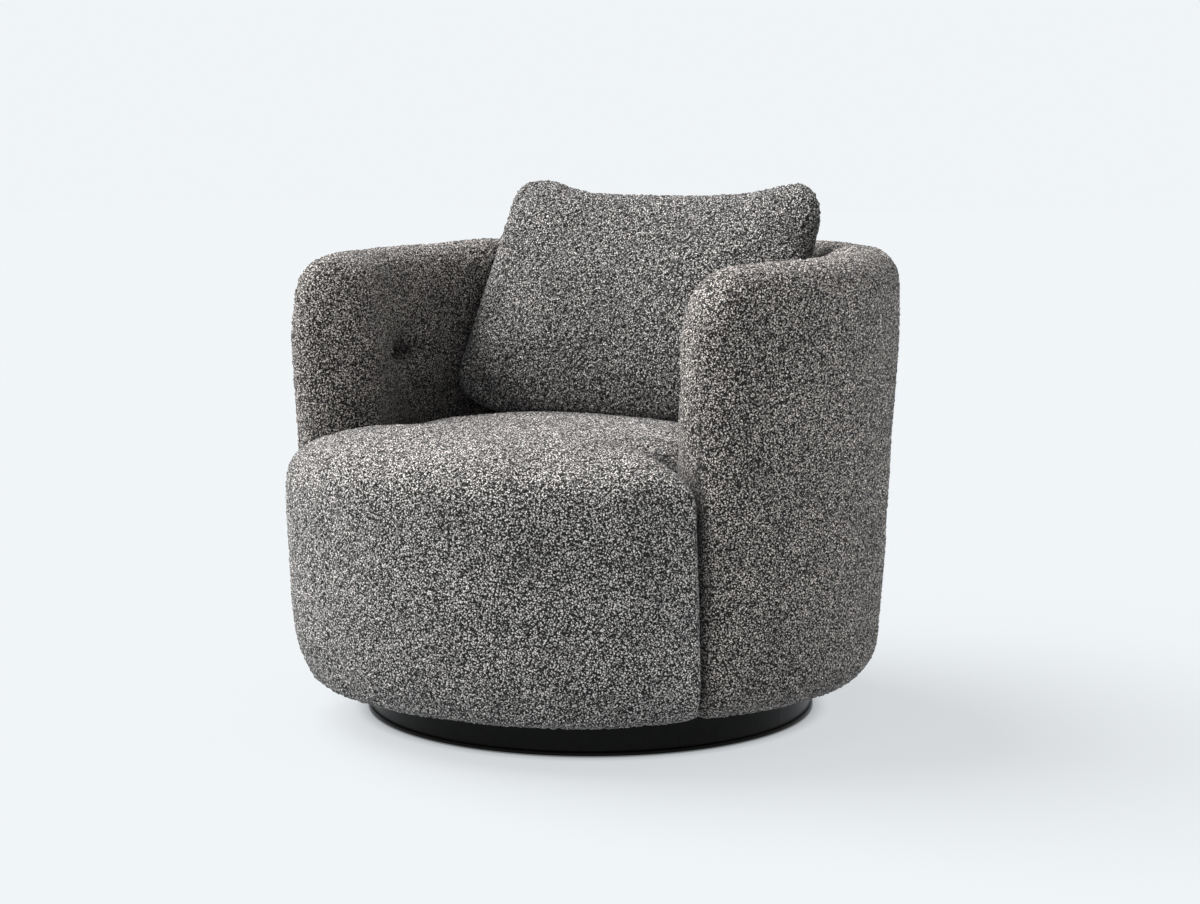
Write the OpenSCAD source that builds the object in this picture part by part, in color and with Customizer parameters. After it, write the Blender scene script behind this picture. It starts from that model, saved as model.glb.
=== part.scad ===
/* [Tub] */
// Outer radius of the tub where the rolled top begins
tub_r = 422; // [390:1:450]
// How much the tub draws in from there down to the hem
tub_taper = 27; // [10:1:35]
// Thickness of the padded wall
wall_t = 118; // [112:1:130]
// Height of the crest at the middle of the back
crest_h = 645; // [610:1:690]
// How much lower the crest is at the arm fronts
crest_fall = 20; // [0:1:30]
// Height of the rolled top above the straight wall
roll_h = 60; // [50:1:75]
// Angle from the front of the chair to the face of each arm
face_a = 54; // [50:0.5:58]
// How far back each arm face leans on its way down to the hem, in degrees
face_lean = 2; // [0:0.5:3]
// Length along the arm of its rounded top front corner
corner_len = 66; // [50:1:80]
// Depth of that corner
corner_h = 90; // [70:1:110]
// Radius of the upright edges of the arm face
face_round = 30; // [20:1:36]
// Thickness of the cover on the outside and the top
cover_t = 4; // [3:0.5:5]
// Thickness of the cover with its wadding on the inside
wadding_t = 18; // [17:1:20]
// Thickness of the foam on the outside of the frame
side_foam_t = 8; // [6:1:10]
// Thickness of the foam on the inside of the frame
inner_foam_t = 16; // [14:1:18]

/* [Tufts] */
// How far the tuft on the inside of each arm lies below the crest
tuft_drop = 166; // [145:1:195]
// Angle from the front to each tuft
tuft_a = 81; // [76:0.5:86]
// Depth of a tuft
tuft_depth = 13; // [8:1:13]
// Reach of a tuft's pull on the cover
tuft_reach = 62; // [50:1:70]
// Radius of a tuft tie
tie_r = 1.6; // [1:0.1:2]
// Radius of the washer that anchors a tie behind the frame panel
tie_washer_r = 12; // [9:1:15]
// Thickness of that washer
tie_washer_t = 2; // [1.5:0.5:3]

/* [Seat] */
// Height of the middle of the crowned seat
seat_h = 402; // [390:1:415]
// How far the seat begins to roll over below its middle
crown_rise = 82; // [72:1:92]
// Fullness of the crown: 2 is an ellipse and more is squarer
crown_power = 2.8; // [2.2:0.1:3.4]
// How far the front of the seat stands proud of the tub wall
front_step = 9; // [4:1:12]
// Further swell at the middle of the front
front_swell = 8; // [0:1:12]
// How far the front rolls in to meet the arm faces
seam_roll = 10; // [6:1:14]
// How far the crown's peak lies in from the outer radius of the tub
crown_in = 232; // [200:1:270]
// Space between the seat and the arm faces and wall
seat_gap = 0.6; // [0.3:0.1:1]

/* [Hem] */
// Height of the hem above the floor
hem_z = 55; // [52:1:60]
// Width of the cover that is tucked under the base board
tuck_w = 22; // [17:1:32]
// Width of the rounded bottom edge
hem_w = 25; // [20:1:30]
// Height of the rounded bottom edge
hem_h = 60; // [50:1:70]
// Thickness of the dust cover
dust_t = 1.5; // [1:0.1:2]

/* [Pillow] */
// Space between the wall and each side of the back pillow, before the pillow is shaped
pillow_side = 35; // [32:1:54]
// Half height of the back pillow
pillow_h = 185; // [165:1:190]
// Thickness of the back pillow
pillow_t = 121; // [100:1:130]
// Lean of the back pillow, in degrees
pillow_lean = 24.5; // [18:0.5:27]
// Distance of the pillow's middle in front of the inside of the back
pillow_off = 159; // [157:1:174]
// How far the bottom of the pillow is pressed flat on the seat
pillow_sink = 23; // [5:1:30]
// Dip of the top edge between the top corners
pillow_dip = 14; // [6:1:24]
// Outward reach of each top corner
pillow_ear_w = 35; // [0:1:36]
// Upward reach of each top corner
pillow_ear_h = 34; // [0:1:38]
// How much wider the pillow is at its bottom than at its top, on each side
pillow_flare = 24; // [0:1:26]
// How far each side of the pillow draws in between its corners
pillow_draw = 24; // [0:1:28]
// How far the sides of the pillow curl forward
pillow_curl = 35; // [10:1:38]
// Space between the pillow's underside and the true crown of the seat
pillow_rest = 1.7; // [1.5:0.1:2.5]
// Thickness of the pillow cover
pillow_cover_t = 3; // [2:0.5:4]

/* [Frame] */
// Thickness of the plywood boards, ribs and rails
ply_t = 18; // [15:1:21]
// Thickness of the bent panels
panel_t = 4; // [3:0.5:5]
// How far the edge of the base board lies in from the outside of the tub
board_set = 43; // [39:1:47]
// Width of the foot of each rib
rib_foot_w = 106; // [80:1:120]
// Depth of the seat's padding above the seat ring
deck_drop = 122; // [115:1:135]
// Width of the seat ring beside the tub wall
deck_w = 58; // [48:1:83]
// Thickness of the foam over the top rail at the arms
top_foam_t = 22; // [18:1:26]
// Width of a webbing strap
strap_w = 60; // [50:1:70]
// Thickness of a webbing strap
strap_t = 2; // [1.5:0.1:2.5]
// Number of straps each way
strap_n = 4; // [3:1:5]
// Length of webbing that lies on the seat ring at each end
strap_lap = 22; // [15:1:25]

/* [Plinth] */
// How far the plinth hoop is set back from the outside of the tub
plinth_set = 89; // [77:1:95]
// Thickness of the plinth hoop
plinth_wall = 12; // [9:1:15]
// Height of the top of the plinth hoop above the floor
plinth_top = 50; // [47:1:51]
// How far the floor ring stands out past the hoop
ring_lip = 4; // [2:0.5:6]
// Width of the floor ring
ring_w = 36; // [30:1:42]
// Thickness of the floor ring
ring_t = 5; // [4:0.5:6]
// Edge break of the floor ring
ring_edge = 1; // [0.5:0.1:1.5]
// Thickness of the felt pads
pad_t = 1.5; // [1:0.1:2]
// Radius of the felt pads
pad_r = 11; // [9:1:13]
// Number of felt pads
pad_n = 8; // [6:1:10]
// Number of glue blocks
block_n = 6; // [4:1:8]
// Length of a glue block along the hoop
block_len = 70; // [50:1:80]
// Depth of a glue block in from the hoop
block_w = 30; // [25:1:36]

/* [Swivel] */
// Radius of the bearing plates
plate_r = 140; // [125:1:150]
// Thickness of the bearing plates
plate_t = 4; // [3.5:0.1:5]
// Radius of the ball track
track_r = 105; // [95:1:112]
// Radius of a ball
ball_r = 5; // [4.5:0.1:5]
// Number of balls
ball_n = 16; // [12:1:20]
// Depth of the track in each plate
track_depth = 1; // [0.8:0.1:1.5]
// Thickness of the ball cage
cage_t = 1.6; // [1.2:0.1:2]
// Width of the ball cage
cage_w = 22; // [18:1:26]
// Radius of the pivot pin
pin_r = 8; // [6:0.5:10]
// Running clearance round the pivot pin
pin_clear = 0.05; // [0.02:0.01:0.1]
// Radius of the pivot pin's heads
pin_head_r = 15; // [12:0.5:18]
// Thickness of those heads
pin_head_t = 2.5; // [2:0.5:3]
// Radius of the plate bolts
bolt_r = 3; // [2.5:0.5:4]
// Radius of the bolt heads
bolt_head_r = 6.5; // [5.5:0.5:7.5]
// Height of the bolt heads
bolt_head_h = 3.5; // [3:0.1:4]
// Distance of the bolts from the swivel axis
bolt_circle_r = 126; // [122:1:130]
// Number of bolts in each plate
bolt_n = 6; // [4:1:8]
// Radius of the flange of a tee nut
tee_flange_r = 9; // [8:0.5:11]
// Radius of the barrel of a tee nut
tee_barrel_r = 4.2; // [4:0.1:5]
// Thickness of the flange of a tee nut
tee_flange_t = 1.5; // [1:0.1:2]

/* [Fit] */
// Overrun of every cut past the face that it opens
cut_over = 1; // [0.5:0.1:2]
// Space between fitted pieces of the frame
fit_gap = 0.3; // [0.2:0.05:0.4]
// Running space round a bolt in its hole
bolt_clear = 0.1; // [0.05:0.01:0.2]
// Room for the flat facets of a soft form round a curved panel
facet_room = 2; // [1.8:0.1:2.4]
// Width of the tub foam's own bottom edge beside the base board
foam_lip = 2; // [1:0.1:3]

/* [Hidden] */
$fn = 64;

full_turn = 360;
half_turn = 180;
quarter_turn = 90;

function unit_clamp(v) = max(0, min(1, v));
function lerp(a, b, t) = a + (b - a) * t;
function spot(r, a, z) = [r * sin(a), -r * cos(a), z];
// How far a rounded edge of radius r lies back at the distance s from its end.
function round_drop(s, r) = s >= r ? 0 : r - sqrt(r * r - (r - s) * (r - s));
// The same for a rounded corner of length l and depth h.
function corner_drop(s, l, h) = s >= l ? 0 : h * (1 - sqrt(1 - pow(1 - s / l, 2)));

// Heights that hang from the top of the seat and from the crest.
seat_roll_z = seat_h - crown_rise;
deck_z = seat_h - deck_drop;
tuft_h = crest_h - tuft_drop;

// Outside of the tub wall, the arm faces and the straight part's top.
shoulder_z = crest_h - roll_h;
function side_r(z) = tub_r - tub_taper * (shoulder_z - z) / (shoulder_z - hem_z);
function seam_a(z) = face_a + face_lean * unit_clamp((seat_roll_z - z) / (seat_roll_z - hem_z));
function arc_deg(l) = l / (tub_r - wall_t / 2) * half_turn / PI;

// What stands in from the outside of the tub, at the hem and at the wall's inside.
board_r = side_r(hem_z) - board_set;
hem_r = board_r - tuck_w;
plinth_r = side_r(hem_z) - plinth_set;
crown_fwd = tub_r - crown_in;
pillow_w = tub_r - wall_t - pillow_side;
pillow_back = tub_r - wall_t - pillow_off;

// Heights, from the floor up.
hoop_z = pad_t + ring_t;
base_z = hem_z + cover_t;
rib_z = base_z + ply_t;
upper_plate_z = base_z - plate_t;
lower_plate_z = upper_plate_z - (ball_r - track_depth) * 2 - plate_t;
ball_z = lower_plate_z + plate_t + ball_r - track_depth;
plinth_board_z = lower_plate_z - ply_t;
knee_z = hem_z + hem_h;
deck_low_z = deck_z - ply_t;
rail_top_z = crest_h - crest_fall - cover_t - top_foam_t;
rail_low_z = rail_top_z - ply_t;

// Radii of the bent panels, and of the ribs between them, at a height.
function outer_panel_r(z) = side_r(z) - cover_t - side_foam_t;
function inner_panel_r(z) = side_r(z) - wall_t + wadding_t + inner_foam_t + fit_gap;
function rib_out_r(z) = outer_panel_r(z) - panel_t - fit_gap;
function rib_in_r(z) = inner_panel_r(z) + panel_t + fit_gap;
board_edge = board_r + fit_gap + facet_room;
ring_r = rib_in_r(deck_z) - fit_gap;
neck_r = side_r(deck_low_z) - wall_t - seat_gap - cover_t - side_foam_t - facet_room;
deck_r = neck_r - deck_w;

// Stations along half of the tub, as distances from the arm face.
half_l = (half_turn - face_a) / half_turn * PI * (tub_r - wall_t / 2);
tuft_l = (tuft_a - face_a) / half_turn * PI * (tub_r - wall_t / 2);
corner_turns = [0, 30, 50, 70, 90];
tuft_steps = 4;
tuft_zone = [tuft_l - tuft_reach, tuft_l + tuft_reach];
back_steps = 9;
half_stations = concat(
  [for (t = corner_turns) corner_len * (1 - cos(t))],
  [for (i = [0 : tuft_steps]) lerp(tuft_zone[0], tuft_zone[1], i / tuft_steps)],
  [for (i = [1 : back_steps]) lerp(tuft_zone[1], half_l, i / back_steps)]
);
half_n = len(half_stations);
// Signed stations all the way round: the right half, then the left half backwards.
stations = concat(
  [for (i = [0 : half_n - 1]) [1, half_stations[i]]],
  [for (i = [half_n - 2 : -1 : 0]) [-1, half_stations[i]]]
);
function station_a(st, z, back) =
  let (start = seam_a(z) + arc_deg(back))
  st[0] * (start + st[1] / half_l * (half_turn - start));

function crest_z(s) = crest_h - crest_fall * (1 - sin(s / half_l * quarter_turn));
tuft_power = 1.6;
function pull(st, z) =
  let (away = norm([st[1] - tuft_l, z - tuft_h]) / tuft_reach)
  away >= 1 ? 0 : tuft_depth * pow(1 - away, tuft_power);

// A layer of the tub wall is [outside, top, inside, face] depths under the cover's skin.
skin = [0, 0, 0, 0];
lining = [cover_t, cover_t, wadding_t, cover_t];
core = [
  cover_t + side_foam_t - facet_room, cover_t + top_foam_t,
  wadding_t + inner_foam_t, cover_t + side_foam_t
];
function half_wall(s, layer) = wall_t / 2 - round_drop(s, face_round - layer[3]);
function layer_top(s, layer) =
  crest_z(s) - layer[1] - corner_drop(s, corner_len - layer[3], corner_h - layer[3]);
function core_top(s) =
  rail_top_z + fit_gap - corner_drop(s, corner_len - core[3], corner_h - core[3]);
function wall_point(st, x, z, layer) =
  spot(side_r(z) - wall_t / 2 + x, station_a(st, z, layer[3]), z);

// Rows of one station of a wall layer: up the outside, over the roll, down the inside.
hem_turns = [0, 40, 65, 90];
roll_power = 2.3;
skin_rolls = [0, 14, 32, 52, 76, 104, 128, 148, 166, 180];
lining_rolls = [0, 35, 90, 145, 180];
function rolled(t) = [
  sign(cos(t)) * pow(abs(cos(t)), 2 / roll_power),
  pow(abs(sin(t)), 2 / roll_power)
];
// The hem keeps outside the base board where the edge of the arm face rounds in.
function hem_rows(st, layer, h) = [
  for (t = hem_turns)
    let (
      z = hem_z + layer[0] + (hem_h - layer[0]) * (1 - cos(t)),
      least = board_edge + foam_lip + cover_t - side_r(z) + wall_t / 2
    )
    wall_point(st, max(h - hem_w * (1 - sin(t)), least) - layer[0], z, layer)
];
function roll_rows(st, layer, h, rolls) = [
  for (t = rolls)
    let (c = rolled(t), top = layer_top(st[1], layer))
    let (z = top - (roll_h - layer[1]) * (1 - c[1]))
    let (mid = (layer[2] - layer[0]) / 2, half = h - (layer[2] + layer[0]) / 2)
    wall_point(st, mid + half * c[0], z, layer)
];
tuft_row_shares = [1, 0.5, 0, -0.5, -1];
roll_clear_share = 0.08;
function skin_station(st) =
  let (h = half_wall(st[1], skin), low = layer_top(st[1], skin) - roll_h)
  concat(
    [spot(hem_r, station_a(st, hem_z, 0), hem_z)],
    hem_rows(st, skin, h),
    roll_rows(st, skin, h, skin_rolls),
    [for (k = tuft_row_shares)
      let (z = tuft_h + k * min(tuft_reach, low - tuft_h - roll_clear_share * roll_h))
      wall_point(st, pull(st, z) - h, z, skin)],
    [wall_point(st, -h, seat_roll_z, skin), wall_point(st, -h, deck_z + fit_gap, skin)]
  );
function lining_station(st) =
  let (h = half_wall(st[1], lining), edge = board_edge + foam_lip)
  concat(
    [spot(hem_r, station_a(st, hem_z, cover_t), hem_z + cover_t)],
    [spot(edge, station_a(st, hem_z, cover_t), hem_z + cover_t)],
    [for (i = [1 : len(hem_turns) - 1]) hem_rows(st, lining, h)[i]],
    roll_rows(st, lining, h, lining_rolls),
    [wall_point(st, wadding_t - h, deck_z + fit_gap, lining)]
  );
function core_station(st) =
  let (h = half_wall(st[1], core), top = core_top(st[1]))
  [
    spot(board_edge, station_a(st, hem_z, core[3]), hem_z + cover_t),
    spot(board_edge, station_a(st, rib_z, core[3]), rib_z),
    wall_point(st, h - core[0] - hem_w / 2, (rib_z + knee_z) / 2, core),
    wall_point(st, h - core[0], knee_z, core),
    wall_point(st, h - core[0], top, core),
    wall_point(st, core[2] - h, top, core),
    wall_point(st, core[2] - h, deck_z + fit_gap, core)
  ];

// Triangles of a grid of rows and columns, with the index of its first point.
function quad(a, b, c, d) = [[a, b, c], [a, c, d]];
function strip(ia, ib) = [
  for (k = [0 : len(ia) - 2])
    each quad(ia[k], ia[k + 1], ib[k + 1], ib[k])
];
function flipped(faces) = [for (f = faces) [f[0], f[2], f[1]]];
function run(first, n) = [for (k = [0 : n - 1]) first + k];
// The rungs that close the end of a sheet, from both of its edges up to the top.
function ladder(first, n) =
  let (half = floor(n / 2))
  concat(
    [for (k = [0 : half - 2])
      each quad(first + k, first + k + 1, first + n - 2 - k, first + n - 1 - k)],
    n % 2 == 1 ? [[first + half - 1, first + half, first + half + 1]] : []
  );

// A trough of two sheets, open at the bottom. The face that closes each end starts
// above the rows of the skirt, where the two sheets meet edge to edge instead.
module trough(outside, inside, skirt) {
  n = len(outside);
  a = len(outside[0]);
  b = len(inside[0]);
  shift = n * a;
  out_end = (n - 1) * a;
  in_end = shift + (n - 1) * b;
  faces = concat(
    [for (i = [0 : n - 2]) each strip(run(i * a, a), run((i + 1) * a, a))],
    flipped([for (i = [0 : n - 2])
      each strip(run(shift + i * b, b), run(shift + (i + 1) * b, b))]),
    flipped(ladder(skirt, a - skirt)),
    ladder(out_end + skirt, a - skirt),
    ladder(shift + skirt, b - skirt),
    flipped(ladder(in_end + skirt, b - skirt)),
    [for (i = [0 : n - 2])
      each quad(i * a, (i + 1) * a, shift + (i + 1) * b, shift + i * b)],
    [for (i = [0 : n - 2])
      each quad((i + 1) * a + a - 1, i * a + a - 1,
        shift + i * b + b - 1, shift + (i + 1) * b + b - 1)],
    strip(run(shift, skirt + 1), run(0, skirt + 1)),
    strip(run(out_end, skirt + 1), run(in_end, skirt + 1)),
    quad(skirt, shift + skirt, shift + b - 1, a - 1),
    quad(out_end + a - 1, in_end + b - 1, in_end + skirt, out_end + skirt)
  );
  polyhedron(points = concat([for (s = outside) each s], [for (s = inside) each s]),
    faces = faces);
}

// Columns of the seat, all the way round its outline: [kind, place along it].
front_cols = 16;
// How closely the front's roll keeps to its two ends.
seam_power = 12;
face_shares = [0.06, 0.36, 0.68, 1];
corner_len_share = 0.03;
seat_stations = concat(
  [corner_len * corner_len_share],
  [for (i = [len(corner_turns) - 1 : half_n - 1]) half_stations[i]]
);
seat_n = len(seat_stations);
columns = concat(
  [for (i = [0 : front_cols]) ["front", 2 * i / front_cols - 1]],
  [for (k = face_shares) ["face", k]],
  [for (i = [0 : seat_n - 1]) ["wall", seat_stations[i]]],
  [for (i = [seat_n - 2 : -1 : 0]) ["wall", -seat_stations[i]]],
  [for (i = [len(face_shares) - 1 : -1 : 0]) ["face", -face_shares[i]]]
);
function front_r(share, z) =
  side_r(z) + front_step + front_swell * (1 - share * share) - seam_roll * pow(share, seam_power);
function hem_in(z, d) =
  let (h = hem_h - d, up = z - hem_z - d)
  up >= h ? 0 : hem_w * (1 - sqrt(1 - pow(1 - max(up, 0) / h, 2)));
// A point of the seat's outline, from the radii of its front and of its tub side.
function outline_spot(col, front, side, seam, z) =
  col[0] == "front" ? spot(front, col[1] * seam, z)
  : col[0] == "face" ? spot(lerp(front, side, abs(col[1])), sign(col[1]) * seam, z)
  : spot(side, sign(col[1]) * (seam_a(z) + abs(col[1]) / half_l * (half_turn - seam_a(z))), z);
function outline(col, z, d) =
  let (zz = min(z, seat_roll_z), share = col[0] == "front" ? col[1] : 1)
  outline_spot(col, front_r(share, zz) - d - hem_in(zz, d), side_r(zz) - wall_t - seat_gap - d,
    seam_a(zz) - arc_deg(seat_gap + d), z);
peak = [0, -crown_fwd];
function to_peak(p, share, z) = [lerp(peak[0], p[0], share), lerp(peak[1], p[1], share), z];
function crown_point(col, t, d) = to_peak(
  outline(col, seat_roll_z, d),
  pow(abs(cos(t)), 2 / crown_power),
  seat_roll_z + (seat_h - seat_roll_z - d) * pow(abs(sin(t)), 2 / crown_power)
);
// The apron reaches the hem at the front, clears the base board beside the arm faces,
// and stands on the seat ring by the tub wall.
function apron_low(col) =
  col[0] == "front" ? hem_z : col[0] == "face" ? knee_z : deck_z + fit_gap;
// The first row of the apron lies just above its lower edge where it isn't tucked under.
edge_share = 0.01;
function apron_point(col, share, d) =
  let (low = apron_low(col) + (col[0] == "front" ? d : 0))
  outline(col, lerp(low, seat_roll_z, col[0] == "front" ? share : max(share, edge_share)), d);
skin_apron_shares = [0, 0.02, 0.07, 0.2, 0.6];
lining_apron_shares = [0, 0.04, 0.2];
skin_crown_turns = [0, 8, 18, 30, 44, 60, 76];
lining_crown_turns = [0, 20, 45, 72];
// The hem is tucked under the base board, except beside the arm faces.
tuck_end_share = 0.97;
function seat_foot(col, d) =
  let (end = tuck_end_share * (front_r(1, hem_z) - hem_w))
  col[0] == "front"
    ? spot(lerp(hem_r, end, pow(col[1], seam_power)), col[1] * seam_a(hem_z), hem_z + d)
    : outline(col, apron_low(col), d);
function seat_skin_column(col) = concat(
  [seat_foot(col, 0)],
  [for (k = skin_apron_shares) apron_point(col, k, 0)],
  [for (t = skin_crown_turns) crown_point(col, t, 0)]
);
function seat_lining_column(col) = concat(
  [seat_foot(col, cover_t)],
  [for (k = lining_apron_shares) apron_point(col, k, cover_t)],
  [for (t = lining_crown_turns) crown_point(col, t, cover_t)]
);
// The hollow of the seat foam, which holds the front panel and lies on the webbing.
web_z = deck_z + 2 * strap_t;
function seat_core_heights(col) =
  let (low = apron_low(col) + edge_share * (seat_roll_z - apron_low(col)))
  col[0] == "front" ? [base_z, rib_z, knee_z, web_z]
    : [low, lerp(low, web_z, 1 / 3), lerp(low, web_z, 2 / 3), web_z];
function seat_core_point(col, z) =
  outline_spot(col,
    z < knee_z ? board_edge : outer_panel_r(z) + facet_room,
    side_r(z) - wall_t - seat_gap - cover_t - side_foam_t,
    seam_a(z) - arc_deg(seat_gap + cover_t + side_foam_t), z);
function seat_core_column(col) = [for (z = seat_core_heights(col)) seat_core_point(col, z)];

// A domed cap of two sheets of columns, each with its own peak, joined along the hem.
function ring_strip(first, cols, rows) = [
  for (i = [0 : cols - 1])
    let (j = (i + 1) % cols)
    each strip(run(first + i * rows, rows), run(first + j * rows, rows))
];
function fan(first, cols, rows, tip) = [
  for (i = [0 : cols - 1])
    [first + i * rows + rows - 1, tip, first + (i + 1) % cols * rows + rows - 1]
];
module cap(outside, inside, top_out, top_in) {
  n = len(outside);
  a = len(outside[0]);
  b = len(inside[0]);
  shift = n * a;
  tip_out = shift + n * b;
  tip_in = tip_out + 1;
  faces = concat(
    ring_strip(0, n, a),
    fan(0, n, a, tip_out),
    flipped(ring_strip(shift, n, b)),
    flipped(fan(shift, n, b, tip_in)),
    [for (i = [0 : n - 1])
      let (j = (i + 1) % n)
      each quad(i * a, j * a, shift + j * b, shift + i * b)]
  );
  polyhedron(
    points = concat([for (s = outside) each s], [for (s = inside) each s], [top_out, top_in]),
    faces = faces);
}

// Height of the crown of the seat under a point.
function seat_top(x, y) =
  let (
    dx = x - peak[0],
    dy = y - peak[1],
    dist = norm([dx, dy]),
    ux = dist == 0 ? 0 : dx / dist,
    uy = dist == 0 ? 1 : dy / dist,
    edge = side_r(seat_roll_z) - wall_t - seat_gap,
    along = peak[0] * ux + peak[1] * uy,
    reach = -along + sqrt(along * along + edge * edge - peak * peak),
    out = min(1, dist / reach)
  )
  seat_roll_z + (seat_h - seat_roll_z) * pow(1 - pow(out, crown_power), 1 / crown_power);
// Radius of the inside of the tub wall at a height and an angle, past its rolled top too.
function tub_inside_r(z, a) =
  let (
    s = half_l * unit_clamp((a - face_a) / (half_turn - face_a)),
    up = unit_clamp((z - crest_z(s) + roll_h) / roll_h)
  )
  side_r(z) - wall_t / 2 - wall_t / 2 * pow(1 - pow(up, roll_power), 1 / roll_power);

// The pillow in its own frame: across, up its lean, and back through it.
pillow_cols = 52;
// Squareness of its outline and of its section, and how closely its ears keep to the corners.
pillow_power = 5.2;
pillow_edge_power = 2.9;
pillow_ear_power = 6;
pillow_skin_turns = [0, 9, 20, 33, 47, 60, 75];
pillow_core_turns = [0, 33, 65];
pillow_mid_z = seat_h + pillow_h * cos(pillow_lean) - pillow_sink;
function signed_pow(v, e) = sign(v) * pow(abs(v), e);
function pillow_rim(k, d) =
  let (
    turn = 2 * half_turn * k / pillow_cols,
    x = signed_pow(cos(turn), 2 / pillow_power),
    v = signed_pow(sin(turn), 2 / pillow_power),
    high = max(v, 0),
    ear = pow(abs(x) * high, pillow_ear_power),
    half_w = pillow_w - d + pillow_flare * (1 - v) / 2 - pillow_draw * (1 - v * v)
  )
  [
    x * (half_w + pillow_ear_w * ear),
    v * (pillow_h - d) - high * pillow_dip * (1 - pow(x, 4)) + pillow_ear_h * ear
  ];
// Keeps a point off the seat and the tub wall, as the resting pillow is.
function settled(p, d) =
  let (
    z = max(p[2], seat_top(p[0], p[1]) + pillow_rest + 2 * d),
    room = tub_inside_r(z, atan2(abs(p[0]), -p[1])) - facet_room - d,
    r = norm([p[0], p[1]]),
    k = p[1] > 0 && r > room ? room / r : 1
  )
  [p[0] * k, p[1] * k, z];
function pillow_point(rim, t, side, d) =
  let (
    out = pow(abs(cos(t)), 2 / pillow_edge_power),
    x = rim[0] * out,
    v = rim[1] * out,
    w = side * (pillow_t / 2 - d) * pow(abs(sin(t)), 2 / pillow_edge_power)
      - pillow_curl * pow(x / pillow_w, 2)
  )
  settled([
    x,
    pillow_back + w * cos(pillow_lean) + v * sin(pillow_lean),
    pillow_mid_z + v * cos(pillow_lean) - w * sin(pillow_lean)
  ], d);
module pillow_form(turns, d) {
  n = pillow_cols;
  m = 2 * len(turns) - 1;
  sides = concat(
    [for (i = [len(turns) - 1 : -1 : 0]) [turns[i], -1]],
    [for (i = [1 : len(turns) - 1]) [turns[i], 1]]
  );
  points = concat(
    [for (k = [0 : n - 1]) each [for (q = sides) pillow_point(pillow_rim(k, d), q[0], q[1], d)]],
    [for (side = [-1, 1]) pillow_point([0, 0], quarter_turn, side, d)]
  );
  faces = concat(
    flipped(ring_strip(0, n, m)),
    flipped(fan(0, n, m, n * m + 1)),
    [for (i = [0 : n - 1]) [i * m, n * m, (i + 1) % n * m]]
  );
  polyhedron(points = points, faces = faces);
}

// Turned about the swivel axis to an angle from the front of the chair.
module at_angle(a) {
  rotate([0, 0, a - quarter_turn])
    children();
}
// A slice of a turned ring, from one angle to another.
module arc_ring(points, from, to) {
  at_angle(from)
    rotate_extrude(angle = to - from)
      polygon(points);
}
module round_group(n, r) {
  for (i = [0 : n - 1])
    rotate([0, 0, full_turn * (i + 0.5) / n])
      translate([r, 0, 0])
        children();
}

module floor_pads() {
  color([0.16, 0.16, 0.16])
    round_group(pad_n, plinth_r + ring_lip - ring_w / 2)
      cylinder(r = pad_r, h = pad_t);
}

module floor_ring() {
  out = plinth_r + ring_lip;
  color([0.04, 0.04, 0.04])
    rotate_extrude()
      polygon([
        [out - ring_w, pad_t], [out - ring_edge, pad_t], [out, pad_t + ring_edge],
        [out, hoop_z - ring_edge], [out - ring_edge, hoop_z], [out - ring_w, hoop_z]
      ]);
}

module plinth_hoop() {
  color([0.05, 0.05, 0.05])
    rotate_extrude()
      translate([plinth_r - plinth_wall, hoop_z])
        square([plinth_wall, plinth_top - hoop_z]);
}

block_deg = block_len / plinth_r * half_turn / PI;
module plinth_blocks() {
  out = plinth_r - plinth_wall - fit_gap;
  color([0.78, 0.65, 0.45])
    for (i = [0 : block_n - 1])
      arc_ring([
        [out - block_w, hoop_z], [out, hoop_z],
        [out, plinth_board_z], [out - block_w, plinth_board_z]
      ], full_turn * i / block_n - block_deg / 2, full_turn * i / block_n + block_deg / 2);
}

module bolt_holes(r, z, h) {
  round_group(bolt_n, bolt_circle_r)
    translate([0, 0, z])
      cylinder(r = r, h = h);
}
// A round board with its bolt holes and a middle hole that clears a head of the pin.
module drilled_board(r, z) {
  color([0.80, 0.68, 0.48])
    difference() {
      translate([0, 0, z])
        cylinder(r = r, h = ply_t);
      bolt_holes(tee_barrel_r + bolt_clear, z - cut_over, ply_t + 2 * cut_over);
      translate([0, 0, z - cut_over])
        cylinder(r = pin_head_r + pin_head_t, h = ply_t + 2 * cut_over);
    }
}

module plinth_board() {
  drilled_board(plinth_r - plinth_wall - fit_gap, plinth_board_z);
}

// A bearing plate with its ball track, bolt holes and pivot hole.
module bearing_plate(z, hole_r) {
  color([0.55, 0.56, 0.58])
    difference() {
      translate([0, 0, z])
        cylinder(r = plate_r, h = plate_t);
      rotate_extrude()
        translate([track_r, ball_z])
          circle(r = ball_r + fit_gap / 2);
      bolt_holes(bolt_r + bolt_clear, z - cut_over, plate_t + 2 * cut_over);
      translate([0, 0, z - cut_over])
        cylinder(r = hole_r, h = plate_t + 2 * cut_over);
    }
}

module swivel_lower_plate() {
  bearing_plate(lower_plate_z, pin_r);
}

module swivel_upper_plate() {
  bearing_plate(upper_plate_z, pin_r + pin_clear);
}

// Bolts that start with their heads on one face and run the length of a board.
module plate_bolts(head_z, shank_z) {
  color([0.30, 0.30, 0.31])
    round_group(bolt_n, bolt_circle_r)
      union() {
        translate([0, 0, head_z])
          cylinder(r = bolt_head_r, h = bolt_head_h);
        translate([0, 0, shank_z])
          cylinder(r = bolt_r, h = plate_t + ply_t);
      }
}

module lower_plate_bolts() {
  plate_bolts(lower_plate_z + plate_t, plinth_board_z);
}

module upper_plate_bolts() {
  plate_bolts(upper_plate_z - bolt_head_h, upper_plate_z);
}

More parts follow.
